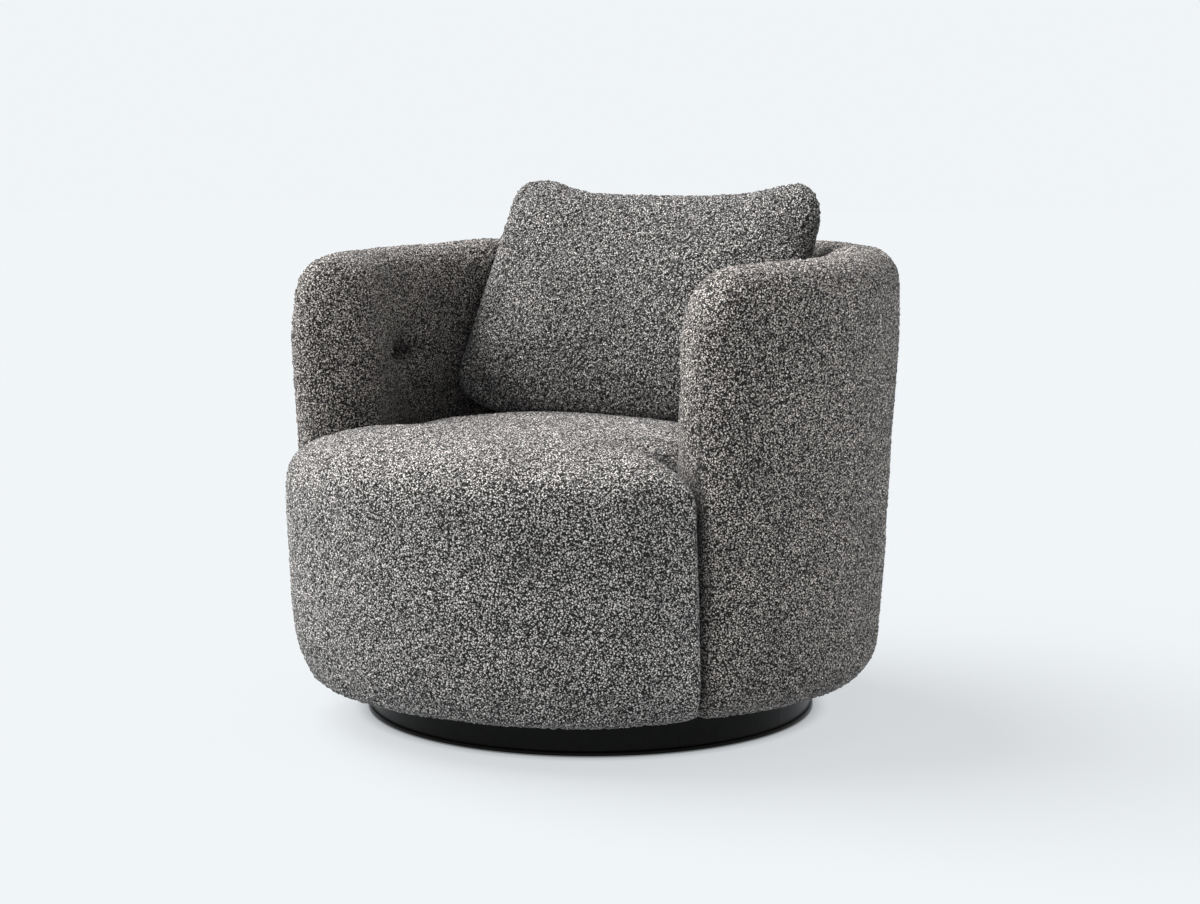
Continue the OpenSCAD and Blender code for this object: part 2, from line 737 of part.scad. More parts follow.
// Tee nuts: a flange flat on a board and a barrel in its hole.
module tee_nuts(flange_z, barrel_z) {
  color([0.62, 0.62, 0.60])
    round_group(bolt_n, bolt_circle_r)
      difference() {
        union() {
          translate([0, 0, flange_z])
            cylinder(r = tee_flange_r, h = tee_flange_t);
          translate([0, 0, barrel_z])
            cylinder(r = tee_barrel_r, h = ply_t / 2);
        }
        translate([0, 0, min(flange_z, barrel_z) - cut_over])
          cylinder(r = bolt_r + bolt_clear, h = ply_t + 2 * cut_over);
      }
}

module lower_tee_nuts() {
  tee_nuts(plinth_board_z - tee_flange_t, plinth_board_z);
}

module upper_tee_nuts() {
  tee_nuts(rib_z, rib_z - ply_t / 2);
}

// The pivot pin is fast in the lower plate, and its upper head keeps the plates together.
module pivot_pin() {
  low = lower_plate_z - pin_head_t;
  high = base_z + fit_gap;
  color([0.62, 0.62, 0.62])
    union() {
      translate([0, 0, low])
        cylinder(r = pin_head_r, h = pin_head_t);
      translate([0, 0, low])
        cylinder(r = pin_r, h = high - low + pin_head_t);
      translate([0, 0, high])
        cylinder(r = pin_head_r, h = pin_head_t);
    }
}

module bearing_balls() {
  color([0.75, 0.75, 0.77])
    round_group(ball_n, track_r)
      translate([0, 0, ball_z])
        sphere(r = ball_r);
}

module ball_cage() {
  color([0.85, 0.83, 0.78])
    difference() {
      rotate_extrude()
        translate([track_r - cage_w / 2, ball_z - cage_t / 2])
          square([cage_w, cage_t]);
      round_group(ball_n, track_r)
        translate([0, 0, ball_z - ball_r])
          cylinder(r = ball_r + fit_gap, h = 2 * ball_r);
    }
}

module base_board() {
  drilled_board(board_r, base_z);
}

module dust_cover() {
  in = plate_r + cage_w / 2;
  color([0.07, 0.07, 0.07])
    rotate_extrude()
      translate([in, base_z - dust_t])
        square([hem_r - 2 * dust_t - in, dust_t]);
}

// Ribs stand on the base board, carry the seat ring on their feet and the top rail.
rib_foot_r = board_r - rib_foot_w;
board_a = face_a + face_lean
  + arc_deg(cover_t + side_foam_t + ply_t + facet_room);
rib_n = 4;
rib_step = (half_turn - board_a) / rib_n;
function rib_outline(top) = [
  [rib_foot_r, rib_z], [board_r - fit_gap, rib_z], [rib_out_r(knee_z), knee_z],
  [rib_out_r(top), top], [rib_in_r(top), top], [rib_in_r(deck_z), deck_z],
  [rib_in_r(deck_z), deck_low_z], [rib_foot_r, deck_low_z]
];
module rib(a, points) {
  color([0.82, 0.70, 0.50])
    at_angle(a)
      rotate([90, 0, 0])
        translate([0, 0, -ply_t / 2])
          linear_extrude(height = ply_t)
            polygon(points);
}

module wall_ribs() {
  for (i = [1 : 2 * rib_n - 1])
    rib(board_a + i * rib_step, rib_outline(rail_low_z));
}

module arm_front_boards() {
  top = rail_top_z - corner_h;
  for (a = [board_a, -board_a])
    rib(a, rib_outline(top));
}

front_half_a = face_a - arc_deg(cover_t + side_foam_t + ply_t);
front_rib_n = 4;
module front_ribs() {
  for (i = [0 : front_rib_n])
    rib((2 * i / front_rib_n - 1) * (front_half_a - arc_deg(ply_t)), [
      [rib_foot_r, rib_z], [board_r - fit_gap, rib_z], [rib_out_r(knee_z), knee_z],
      [rib_out_r(deck_low_z), deck_low_z], [rib_foot_r, deck_low_z]
    ]);
}

function ring_box(from, to) = [
  [from, deck_low_z], [to, deck_low_z], [to, deck_z], [from, deck_z]
];
module seat_ring() {
  start = board_a - arc_deg(ply_t / 2);
  mid = (deck_r + neck_r) / 2;
  color([0.82, 0.70, 0.50])
    union() {
      rotate_extrude()
        polygon(ring_box(deck_r, neck_r));
      arc_ring(ring_box(mid, ring_r), start, 2 * half_turn - start);
      arc_ring(ring_box(mid, rib_out_r(deck_low_z)), -front_half_a, front_half_a);
    }
}

module top_rail() {
  color([0.82, 0.70, 0.50])
    arc_ring([
      [rib_in_r(rail_low_z), rail_low_z], [rib_out_r(rail_low_z), rail_low_z],
      [rib_out_r(rail_low_z), rail_top_z], [rib_in_r(rail_low_z), rail_top_z]
    ], board_a + rib_step, 2 * half_turn - board_a - rib_step);
}

module inner_panel() {
  low = deck_z + fit_gap;
  color([0.62, 0.47, 0.30])
    difference() {
      arc_ring([
        [inner_panel_r(low), low], [inner_panel_r(low) + panel_t, low],
        [inner_panel_r(rail_low_z) + panel_t, rail_low_z],
        [inner_panel_r(rail_low_z), rail_low_z]
      ], board_a, 2 * half_turn - board_a);
      tie_holes();
    }
}

module bent_panel(top, from, to) {
  color([0.62, 0.47, 0.30])
    arc_ring([
      [outer_panel_r(knee_z) - panel_t, knee_z], [outer_panel_r(knee_z), knee_z],
      [outer_panel_r(top), top], [outer_panel_r(top) - panel_t, top]
    ], from, to);
}

module outer_panel() {
  bent_panel(rail_low_z, board_a, 2 * half_turn - board_a);
}

module front_panel() {
  bent_panel(deck_z, -front_half_a, front_half_a);
}

// Straps lie across the opening of the seat ring, each as long as the ring there needs.
strap_spread_share = 0.93;
strap_pitch = strap_spread_share * 2 * deck_r / strap_n;
module straps(z) {
  color([0.14, 0.13, 0.12])
    for (i = [0 : strap_n - 1])
      let (x = (i - (strap_n - 1) / 2) * strap_pitch, half = sqrt(deck_r * deck_r - x * x) + strap_lap)
      translate([x - strap_w / 2, -half, z])
        cube([strap_w, 2 * half, strap_t]);
}

module webbing_lengthwise() {
  straps(deck_z);
}

module webbing_crosswise() {
  rotate([0, 0, 90])
    straps(deck_z + strap_t);
}

module tub_cover() {
  color([0.36, 0.35, 0.34])
    trough([for (st = stations) skin_station(st)], [for (st = stations) lining_station(st)],
      len(hem_turns));
}

module tub_foam() {
  color([0.93, 0.89, 0.74])
    difference() {
      trough(
        [for (st = stations) let (p = lining_station(st)) [for (i = [1 : len(p) - 1]) p[i]]],
        [for (st = stations) core_station(st)], len(hem_turns) - 1);
      tie_holes();
    }
}

// A tie runs from the wadding, through the foam and the panel, to its washer.
module on_tufts() {
  for (a = [tuft_a, -tuft_a])
    at_angle(a)
      translate([0, 0, tuft_h])
        rotate([0, 90, 0])
          children();
}
module tie_holes() {
  on_tufts()
    translate([0, 0, inner_panel_r(tuft_h) - inner_foam_t - wadding_t])
      cylinder(r = tie_r + fit_gap, h = inner_foam_t + wadding_t + 2 * panel_t);
}
module tuft_ties() {
  from = inner_panel_r(tuft_h) - inner_foam_t;
  anchor = inner_panel_r(tuft_h) + panel_t + 2 * fit_gap;
  color([0.88, 0.86, 0.80])
    on_tufts()
      union() {
        translate([0, 0, from])
          cylinder(r = tie_r, h = anchor + tie_washer_t - from);
        translate([0, 0, anchor])
          cylinder(r = tie_washer_r, h = tie_washer_t);
      }
}

module seat_cover() {
  color([0.36, 0.35, 0.34])
    cap([for (c = columns) seat_skin_column(c)], [for (c = columns) seat_lining_column(c)],
      [peak[0], peak[1], seat_h], [peak[0], peak[1], seat_h - cover_t]);
}

module seat_foam() {
  color([0.93, 0.89, 0.74])
    cap(
      [for (c = columns)
        let (p = seat_lining_column(c))
        [for (i = [1 : len(p) - 1]) p[i]]],
      [for (c = columns) seat_core_column(c)],
      [peak[0], peak[1], seat_h - cover_t], [peak[0], peak[1], web_z]);
}

module pillow_insert() {
  color([0.95, 0.95, 0.93])
    pillow_form(pillow_core_turns, pillow_cover_t);
}

module pillow_cover() {
  color([0.36, 0.35, 0.34])
    difference() {
      pillow_form(pillow_skin_turns, 0);
      pillow_form(pillow_core_turns, pillow_cover_t);
    }
}

floor_pads();
floor_ring();
plinth_hoop();
plinth_blocks();
plinth_board();
swivel_lower_plate();
lower_plate_bolts();
lower_tee_nuts();
pivot_pin();
bearing_balls();
ball_cage();
swivel_upper_plate();
upper_plate_bolts();
upper_tee_nuts();
base_board();
dust_cover();
wall_ribs();
arm_front_boards();
front_ribs();
seat_ring();
top_rail();
inner_panel();
outer_panel();
front_panel();
webbing_lengthwise();
webbing_crosswise();
tub_foam();
tub_cover();
tuft_ties();
seat_foam();
seat_cover();
pillow_insert();
pillow_cover();
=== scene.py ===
from math import atan2, cos, exp, hypot, radians, sin

import bpy
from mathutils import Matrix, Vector


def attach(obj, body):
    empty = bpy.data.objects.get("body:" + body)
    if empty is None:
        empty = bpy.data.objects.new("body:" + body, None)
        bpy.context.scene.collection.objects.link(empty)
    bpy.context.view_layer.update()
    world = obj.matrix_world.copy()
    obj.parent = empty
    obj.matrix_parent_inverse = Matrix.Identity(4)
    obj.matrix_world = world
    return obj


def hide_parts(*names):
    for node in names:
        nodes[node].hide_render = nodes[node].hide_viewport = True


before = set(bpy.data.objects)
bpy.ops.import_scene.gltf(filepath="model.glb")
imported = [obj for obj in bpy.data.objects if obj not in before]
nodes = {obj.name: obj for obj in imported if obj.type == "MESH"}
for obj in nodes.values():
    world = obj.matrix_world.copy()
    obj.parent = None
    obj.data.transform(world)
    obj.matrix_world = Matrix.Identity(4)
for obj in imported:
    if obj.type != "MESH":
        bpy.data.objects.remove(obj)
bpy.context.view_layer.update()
scene = bpy.context.scene

# ---- Camera ----
# It stands to the right of the chair's front, at about the height of the pillow's top, and
# looks slightly down on the chair through a long lens.
camera_place = (1.7316, -2.4736, 0.7262)
camera_aim = Vector((-0.5698, 0.8140, -0.1131))

camera_data = bpy.data.cameras.new("camera")
camera_data.sensor_width = 36
camera_data.lens = 65.9
camera_data.shift_x = 0.0078
camera_data.shift_y = -0.0192
camera = bpy.data.objects.new("camera", camera_data)
camera.location = camera_place
camera.rotation_euler = camera_aim.to_track_quat("-Z", "Y").to_euler()
scene.collection.objects.link(camera)
scene.camera = camera
scene.view_settings.view_transform = "Standard"

# ---- Studio ----
# A pale level floor runs out of sight into walls lit to the same tone. One wide light stands
# high at the left, with weak ones round the chair. The floor glows, so that its shadows stay
# pale, and its colour and glow darken as a painted contact shadow where something stands close
# over it.
floor_half = 40
floor_tone = (0.130, 0.135, 0.139)
floor_glow = (0.616, 0.641, 0.658)
contact_reach, contact_shadow_share = 0.035, 0.25
contact_closed, contact_open = 0.2, 0.9
wall_tone = (0.871, 0.905, 0.930)
ceiling_tone = (0.05, 0.05, 0.05)
wall_ends, ceiling_starts = 0.26, 0.42
light_spread = radians(50)


def deselect():
    """Leaves edit mode and selects nothing."""
    if bpy.context.object and bpy.context.object.mode != "OBJECT":
        bpy.ops.object.mode_set(mode="OBJECT")
    bpy.ops.object.select_all(action="DESELECT")


def put(tree, kind, inputs=None, **settings):
    """Adds a shader node. An input is given a value, or another node's socket."""
    made = tree.nodes.new("ShaderNode" + kind)
    for key, value in settings.items():
        setattr(made, key, value)
    for key, value in (inputs or {}).items():
        if isinstance(value, bpy.types.NodeSocket):
            tree.links.new(value, made.inputs[key])
        else:
            made.inputs[key].default_value = value
    return made


def new_finish(name, roughness, **sockets):
    """A material with one Principled shader, and the place on the piece to work from."""
    finish = bpy.data.materials.new(name)
    finish.use_nodes = True
    tree = finish.node_tree
    shader = tree.nodes["Principled BSDF"]
    shader.inputs["Roughness"].default_value = roughness
    for key, value in sockets.items():
        shader.inputs[key.replace("_", " ")].default_value = value
    place = put(tree, "TexCoord").outputs["Object"]
    return finish, tree, shader, place


def ramp(tree, source, stops):
    """Turns a value into a tone. A stop is (position, (red, green, blue))."""
    made = put(tree, "ValToRGB", {"Fac": source})
    band = made.color_ramp
    while len(band.elements) < len(stops):
        band.elements.new(1)
    for element, (at, tone) in zip(band.elements, stops):
        element.position = at
        element.color = (*tone, 1)
    return made.outputs["Color"]


def bump(tree, shader, height, depth):
    """Raises the surface by depth metres where height is 1."""
    made = put(tree, "Bump", {"Height": height, "Distance": depth, "Strength": 1.0})
    tree.links.new(made.outputs["Normal"], shader.inputs["Normal"])


deselect()
bpy.ops.mesh.primitive_plane_add(size=2 * floor_half)
studio_floor = bpy.context.object
studio_floor.name = "studio_floor"
floor_paint, floor_tree, floor_shader, _ = new_finish("studio_floor_paint", 0.9)
floor_shader.inputs["Specular IOR Level"].default_value = 0.0
floor_shader.inputs["Emission Strength"].default_value = 1.0
# Painted contact shadow: the floor's colour and glow darken where something stands close over it.
contact = put(floor_tree, "AmbientOcclusion", {"Distance": contact_reach}).outputs["AO"]
for tone, socket in [(floor_tone, "Base Color"), (floor_glow, "Emission Color")]:
    painted_contact_tone = [contact_shadow_share * part for part in tone]
    shade = ramp(floor_tree, contact, [(contact_closed, painted_contact_tone), (contact_open, tone)])
    floor_tree.links.new(shade, floor_shader.inputs[socket])
studio_floor.data.materials.append(floor_paint)

studio = bpy.data.worlds.new("studio_walls")
studio.use_nodes = True
sky_way = put(studio.node_tree, "TexCoord").outputs["Generated"]
sky_height = put(studio.node_tree, "SeparateXYZ", {"Vector": sky_way}).outputs["Z"]
sky_tone = ramp(studio.node_tree, sky_height,
    [(wall_ends, wall_tone), (ceiling_starts, ceiling_tone)])
studio.node_tree.links.new(sky_tone, studio.node_tree.nodes["Background"].inputs["Color"])
scene.world = studio

for name, power, towards in [
    ("left_high_light", 5.9, (0.9, 0.1, -1.1)),
    ("front_left_light", 1.1, (0.55, 0.85, -0.8)),
    ("top_light", 0.4, (0.0, 0.05, -1.0)),
    ("right_back_light", 0.37, (-0.8, -0.7, -0.8)),
]:
    light = bpy.data.lights.new(name, "SUN")
    light.energy = power
    light.angle = light_spread
    lamp = bpy.data.objects.new(name, light)
    lamp.rotation_euler = Vector(towards).to_track_quat("-Z", "Y").to_euler()
    scene.collection.objects.link(lamp)

# ---- Floor pads ----
# Pressed wool felt discs, glued under the floor ring so that it doesn't mark a floor.
felt, felt_tree, felt_shader, felt_place = new_finish("pressed_felt", 0.95)


def cover_with(finish, *names):
    """Gives a material to CAD nodes that stay as they are."""
    for name in names:
        mesh = nodes[name].data
        if mesh.materials:
            for i in range(len(mesh.materials)):
                mesh.materials[i] = finish
        else:
            mesh.materials.append(finish)


felt_fibres = put(felt_tree, "TexNoise", {"Vector": felt_place, "Scale": 900, "Detail": 6})
felt_tone = ramp(felt_tree, felt_fibres.outputs["Fac"],
    [(0.3, (0.014, 0.014, 0.015)), (0.7, (0.05, 0.05, 0.052))])
felt_tree.links.new(felt_tone, felt_shader.inputs["Base Color"])
bump(felt_tree, felt_shader, felt_fibres.outputs["Fac"], 0.0006)
cover_with(felt, "floor_pads")

# ---- Floor ring and hoop ----
# A thin lacquered ring carries the bent plywood hoop of the plinth. Both are sprayed in black,
# and the lacquer has a slight orange peel.
lacquer, lacquer_tree, lacquer_shader, lacquer_place = new_finish("black_lacquer", 0.30)
lacquer_shader.inputs["Specular IOR Level"].default_value = 0.10
lacquer_mist = put(lacquer_tree, "TexNoise", {"Vector": lacquer_place, "Scale": 60, "Detail": 3})
lacquer_tone = ramp(lacquer_tree, lacquer_mist.outputs["Fac"],
    [(0.35, (0.0012, 0.0012, 0.0013)), (0.65, (0.0030, 0.0030, 0.0032))])
lacquer_tree.links.new(lacquer_tone, lacquer_shader.inputs["Base Color"])
lacquer_peel = put(lacquer_tree, "TexNoise", {"Vector": lacquer_place, "Scale": 450, "Detail": 2})
bump(lacquer_tree, lacquer_shader, lacquer_peel.outputs["Fac"], 0.00008)
cover_with(lacquer, "floor_ring", "plinth_hoop")

# ---- Plywood ----
# Birch plywood for the boards, the ribs, the rail and the glue blocks: pale faces with a long
# grain, and darker glue lines round the sawn edges.
plywood, plywood_tree, plywood_shader, plywood_place = new_finish("birch_plywood", 0.62)
ply_stretch = put(plywood_tree, "Mapping", {"Vector": plywood_place, "Scale": (4, 60, 60)})
ply_grain = put(plywood_tree, "TexNoise",
    {"Vector": ply_stretch.outputs["Vector"], "Scale": 3, "Detail": 8, "Roughness": 0.6})
ply_tone = ramp(plywood_tree, ply_grain.outputs["Fac"],
    [(0.25, (0.50, 0.34, 0.18)), (0.5, (0.64, 0.47, 0.27)), (0.8, (0.73, 0.57, 0.36))])
ply_layers = put(plywood_tree, "TexWave",
    {"Vector": plywood_place, "Scale": 180, "Distortion": 0.4}, bands_direction="Z")
ply_lines = ramp(plywood_tree, ply_layers.outputs["Fac"],
    [(0.0, (0.55, 0.55, 0.55)), (0.35, (1, 1, 1))])
ply_both = put(plywood_tree, "Mix", {0: 0.35, 6: ply_tone, 7: ply_lines},
    data_type="RGBA", blend_type="MULTIPLY")
plywood_tree.links.new(ply_both.outputs[2], plywood_shader.inputs["Base Color"])
bump(plywood_tree, plywood_shader, ply_grain.outputs["Fac"], 0.0002)
cover_with(plywood, "plinth_blocks", "plinth_board", "base_board", "wall_ribs",
    "arm_front_boards", "front_ribs", "seat_ring", "top_rail")

# ---- Swivel plates ----
# Two pressed steel plates with a rolled ball track between them, zinc plated after pressing.
zinc, zinc_tree, zinc_shader, zinc_place = new_finish("zinc_plate", 0.34, Metallic=1.0)
zinc_spangle = put(zinc_tree, "TexVoronoi", {"Vector": zinc_place, "Scale": 160})
zinc_tone = ramp(zinc_tree, zinc_spangle.outputs["Distance"],
    [(0.0, (0.58, 0.59, 0.61)), (0.7, (0.70, 0.71, 0.72))])
zinc_tree.links.new(zinc_tone, zinc_shader.inputs["Base Color"])
zinc_scuff = put(zinc_tree, "TexNoise", {"Vector": zinc_place, "Scale": 90, "Detail": 6})
zinc_sheen = put(zinc_tree, "MapRange", {"Value": zinc_scuff.outputs["Fac"], "To Min": 0.25,
    "To Max": 0.5})
zinc_tree.links.new(zinc_sheen.outputs["Result"], zinc_shader.inputs["Roughness"])
cover_with(zinc, "swivel_lower_plate", "swivel_upper_plate", "lower_tee_nuts",
    "upper_tee_nuts", "pivot_pin")

# ---- Plate bolts ----
# Machine screws in dark zinc hold each plate to its board through the tee nuts.
dark_zinc, dark_tree, dark_shader, dark_place = new_finish("dark_zinc", 0.4, Metallic=1.0)
dark_scuff = put(dark_tree, "TexNoise", {"Vector": dark_place, "Scale": 300, "Detail": 5})
dark_tone = ramp(dark_tree, dark_scuff.outputs["Fac"],
    [(0.3, (0.09, 0.09, 0.095)), (0.7, (0.20, 0.20, 0.21))])
dark_tree.links.new(dark_tone, dark_shader.inputs["Base Color"])
cover_with(dark_zinc, "lower_plate_bolts", "upper_plate_bolts")

# ---- Balls ----
# Hardened steel balls, ground and polished, that run in the tracks of the plates.
ball_steel, ball_tree, ball_shader, ball_place = new_finish("polished_steel", 0.08, Metallic=1.0)
ball_haze = put(ball_tree, "TexNoise", {"Vector": ball_place, "Scale": 500, "Detail": 4})
ball_tone = ramp(ball_tree, ball_haze.outputs["Fac"],
    [(0.3, (0.70, 0.70, 0.72)), (0.7, (0.80, 0.80, 0.82))])
ball_tree.links.new(ball_tone, ball_shader.inputs["Base Color"])
cover_with(ball_steel, "bearing_balls")

# ---- Ball cage ----
# A flat ring of natural nylon with a round hole for each ball.
nylon, nylon_tree, nylon_shader, nylon_place = new_finish("natural_nylon", 0.5)
nylon_shader.inputs["Subsurface Weight"].default_value = 0.15
nylon_cloud = put(nylon_tree, "TexNoise", {"Vector": nylon_place, "Scale": 120, "Detail": 3})
nylon_tone = ramp(nylon_tree, nylon_cloud.outputs["Fac"],
    [(0.3, (0.66, 0.63, 0.55)), (0.7, (0.74, 0.71, 0.64))])
nylon_tree.links.new(nylon_tone, nylon_shader.inputs["Base Color"])
cover_with(nylon, "ball_cage")

# ---- Dust cover ----
# Black spun-bonded cloth, stapled under the base board, with its small dimpled bond points.
dust_cloth, dust_tree, dust_shader, dust_place = new_finish("black_dust_cloth", 0.9)
dust_fibres = put(dust_tree, "TexNoise", {"Vector": dust_place, "Scale": 700, "Detail": 5})
dust_tone = ramp(dust_tree, dust_fibres.outputs["Fac"],
    [(0.35, (0.006, 0.006, 0.006)), (0.7, (0.028, 0.028, 0.028))])
dust_tree.links.new(dust_tone, dust_shader.inputs["Base Color"])
dust_points = put(dust_tree, "TexVoronoi", {"Vector": dust_place, "Scale": 450, "Randomness": 0.1})
bump(dust_tree, dust_shader, dust_points.outputs["Distance"], 0.0004)
cover_with(dust_cloth, "dust_cover")

# ---- Bent panels ----
# Thin hardboard, bent round the ribs as a backing for the foam. One face is smooth and the
# brown fibres show as fine dark and light flecks.
hardboard, board_tree, board_shader, board_place = new_finish("hardboard", 0.7)
board_flecks = put(board_tree, "TexNoise", {"Vector": board_place, "Scale": 420, "Detail": 8,
    "Roughness": 0.7})
board_tone = ramp(board_tree, board_flecks.outputs["Fac"],
    [(0.3, (0.16, 0.085, 0.040)), (0.55, (0.27, 0.155, 0.075)), (0.8, (0.38, 0.24, 0.13))])
board_tree.links.new(board_tone, board_shader.inputs["Base Color"])
bump(board_tree, board_shader, board_flecks.outputs["Fac"], 0.00015)
cover_with(hardboard, "inner_panel", "outer_panel", "front_panel")

# ---- Webbing ----
# Woven elastic straps, stretched across the seat ring both ways, with ribs along the weave.
strap, strap_tree, strap_shader, strap_place = new_finish("elastic_webbing", 0.85)
strap_warp = put(strap_tree, "TexWave", {"Vector": strap_place, "Scale": 110}, bands_direction="X")
strap_weft = put(strap_tree, "TexWave", {"Vector": strap_place, "Scale": 110}, bands_direction="Y")
strap_weave = put(strap_tree, "Math",
    {0: strap_warp.outputs["Fac"], 1: strap_weft.outputs["Fac"]}, operation="MULTIPLY")
strap_tone = ramp(strap_tree, strap_weave.outputs["Value"],
    [(0.0, (0.008, 0.008, 0.007)), (0.6, (0.045, 0.042, 0.038))])
strap_tree.links.new(strap_tone, strap_shader.inputs["Base Color"])
bump(strap_tree, strap_shader, strap_weave.outputs["Value"], 0.0005)
cover_with(strap, "webbing_lengthwise", "webbing_crosswise")

# ---- Foam ----
# Cut blocks of open-cell foam, glued to the panels and the ribs, with a fine sponge of cells.
foam, foam_tree, foam_shader, foam_place = new_finish("open_cell_foam", 0.9)
foam_cells = put(foam_tree, "TexVoronoi", {"Vector": foam_place, "Scale": 500})
foam_tone = ramp(foam_tree, foam_cells.outputs["Distance"],
    [(0.1, (0.62, 0.55, 0.34)), (0.6, (0.85, 0.78, 0.54))])
foam_tree.links.new(foam_tone, foam_shader.inputs["Base Color"])
bump(foam_tree, foam_shader, foam_cells.outputs["Distance"], 0.0008)
cover_with(foam, "tub_foam", "seat_foam")

# ---- Tuft ties ----
# Waxed twine pulls each tuft in and ends behind the panel in a knot on a washer.
twine, twine_tree, twine_shader, twine_place = new_finish("waxed_twine", 0.6)
twine_lay = put(twine_tree, "TexWave", {"Vector": twine_place, "Scale": 400, "Distortion": 2},
    bands_direction="DIAGONAL")
twine_tone = ramp(twine_tree, twine_lay.outputs["Fac"],
    [(0.2, (0.46, 0.42, 0.33)), (0.8, (0.74, 0.70, 0.60))])
twine_tree.links.new(twine_tone, twine_shader.inputs["Base Color"])
bump(twine_tree, twine_shader, twine_lay.outputs["Fac"], 0.0003)
cover_with(twine, "tuft_ties")

# ---- Pillow filling ----
# Loose polyester fibre in a thin white lining, inside the pillow's cover.
lining, lining_tree, lining_shader, lining_place = new_finish("white_lining", 0.9)
lining_weave = put(lining_tree, "TexNoise", {"Vector": lining_place, "Scale": 250, "Detail": 6})
lining_tone = ramp(lining_tree, lining_weave.outputs["Fac"],
    [(0.3, (0.72, 0.72, 0.70)), (0.7, (0.86, 0.86, 0.84))])
lining_tree.links.new(lining_tone, lining_shader.inputs["Base Color"])
bump(lining_tree, lining_shader, lining_weave.outputs["Fac"], 0.0005)
cover_with(lining, "pillow_insert")

# ---- Tub cover ----
# One padded cover of boucle runs round the wall, over its rolled top and down the inside. Each
# arm has a tuft that a tie pulls in, and the cover is tucked under the base board at the hem.
wall_middle_r = 0.354
wall_draw_in = 0.05
wall_low, wall_high = 0.13, 0.57
wall_half = 0.059
arm_face_deg = 54
heart_behind_face_deg = 9
merge_reach = 0.00002
lining_reach = 0.0002
facet_turn, facet_skew, sharp_turn = radians(50), radians(80), radians(40)
sharp_crease = 0.9
hem_z, hem_rim_r = 0.061, 0.334
inner_rim_low, inner_rim_high = 0.27, 0.29
face_round, nose_l = 0.030, 0.047
nose_low, nose_blend = 0.30, 0.10
crest_low, crest_blend = 0.50, 0.08
crest_sinks = [(54, 0.006), (105, 0.006), (117, 0.002), (130, 0.005), (180, 0.005)]
shoulder_in = 0.002
nose_top_in = 0.006
nose_top_deg, nose_top_blend_deg = 76, 16
side_fill = 0.0020
side_fill_low, side_fill_blend = 0.07, 0.03
hem_fill = 0.0015
hem_fill_low, hem_fill_low_blend = 0.062, 0.02
hem_fill_high, hem_fill_high_blend = 0.12, 0.04
face_fill_deg, face_free_deg, face_blend_deg = 2, 1, 4
seat_side_z, seat_side_blend = 0.37, 0.06
seat_top_z, seat_top_blend = 0.40, 0.03
stapled_z = 0.10
tub_hold = 0.15
tub_voxel = 0.010
cover_pressure, cover_swell = 1.5, 0.004
swell_moments = 20
tuft_r, tuft_deg, tuft_z = 0.300, 81, 0.479
tuft_pit, tuft_pit_r = 0.012, 0.018
tuft_crease, tuft_crease_l, tuft_crease_w = 0.008, 0.036, 0.007
tuft_reach = 0.09
tuft_side_in = 0.02
tuft_hold_r = 0.03
lump_l, lump_h = 0.09, 0.003
loop_l, tub_loop_h, loop_rise = 0.005, 0.0055, 0.3
curls_per_metre, curl_reach = 170, 0.004
nub_layers = [(380, 0.5, 1.0, 0), (560, 0.0, 0.8, 0.7)]
nub_top, nub_edge, nub_h = 0.28, 0.54, 0.0012
fibres_per_metre, fibre_share = 1500, 0.12
clouds_per_metre, cloud_least, cloud_most = 14, 0.86, 1.12
cloud_thin, cloud_thick = 0.3, 0.7
# Painted shade between pieces that stand close:
nook_reach, nook_shade = 0.18, 0.45
nook_closed, nook_open = 0.3, 0.82
yarn_sheen = 0.18
# Painted shade along the blind seam up each arm and in each tuft:
seam_deg, seam_half_deg = 55.3, 0.40
seam_full, seam_end = 0.39, 0.47
seam_r, seam_r_blend = 0.36, 0.005
seam_shade, tuft_shade = 0.6, 0.85
tuft_dark_l, tuft_dark_h = 0.052, 0.021
painted_fold_shade_tone = (0.004, 0.004, 0.004, 1)
tub_yarns = [
    (0.00, (0.008, 0.007, 0.007)),
    (0.30, (0.034, 0.031, 0.029)),
    (0.53, (0.415, 0.380, 0.353)),
    (0.80, (1.000, 0.920, 0.860)),
]


def make_active(piece):
    """Selects a piece alone, for the operators that follow."""
    deselect()
    piece.select_set(True)
    bpy.context.view_layer.objects.active = piece


def outer_sheet(node, name, heart):
    """Copies a CAD cover and keeps the sheet of it that shows, with its facets paired up.
    heart(place) gives a point inside the padding nearest to that place."""
    piece = bpy.data.objects.new(name, nodes[node].data.copy())
    scene.collection.objects.link(piece)
    make_active(piece)
    bpy.ops.object.mode_set(mode="EDIT")
    bpy.ops.mesh.select_all(action="SELECT")
    bpy.ops.mesh.remove_doubles(threshold=merge_reach)
    bpy.ops.mesh.select_all(action="DESELECT")
    bpy.ops.object.mode_set(mode="OBJECT")
    for face in piece.data.polygons:
        outwards = (face.center - heart(face.center)).dot(face.normal)
        face.select = outwards <= lining_reach
    bpy.ops.object.mode_set(mode="EDIT")
    bpy.ops.mesh.delete(type="FACE")
    bpy.ops.mesh.select_all(action="SELECT")
    bpy.ops.mesh.tris_convert_to_quads(face_threshold=facet_turn, shape_threshold=facet_skew)
    bpy.ops.mesh.select_all(action="DESELECT")
    bpy.ops.mesh.select_mode(type="EDGE")
    bpy.ops.mesh.edges_select_sharp(sharpness=sharp_turn)
    bpy.ops.transform.edge_crease(value=sharp_crease)
    bpy.ops.mesh.select_mode(type="FACE")
    bpy.ops.object.mode_set(mode="OBJECT")
    return piece


def close_open_edges(piece):
    """Closes each open rim with a face and turns all faces outwards."""
    make_active(piece)
    bpy.ops.object.mode_set(mode="EDIT")
    bpy.ops.mesh.select_all(action="SELECT")
    bpy.ops.mesh.fill_holes(sides=0)
    bpy.ops.mesh.select_all(action="SELECT")
    bpy.ops.mesh.normals_make_consistent(inside=False)
    bpy.ops.object.mode_set(mode="OBJECT")


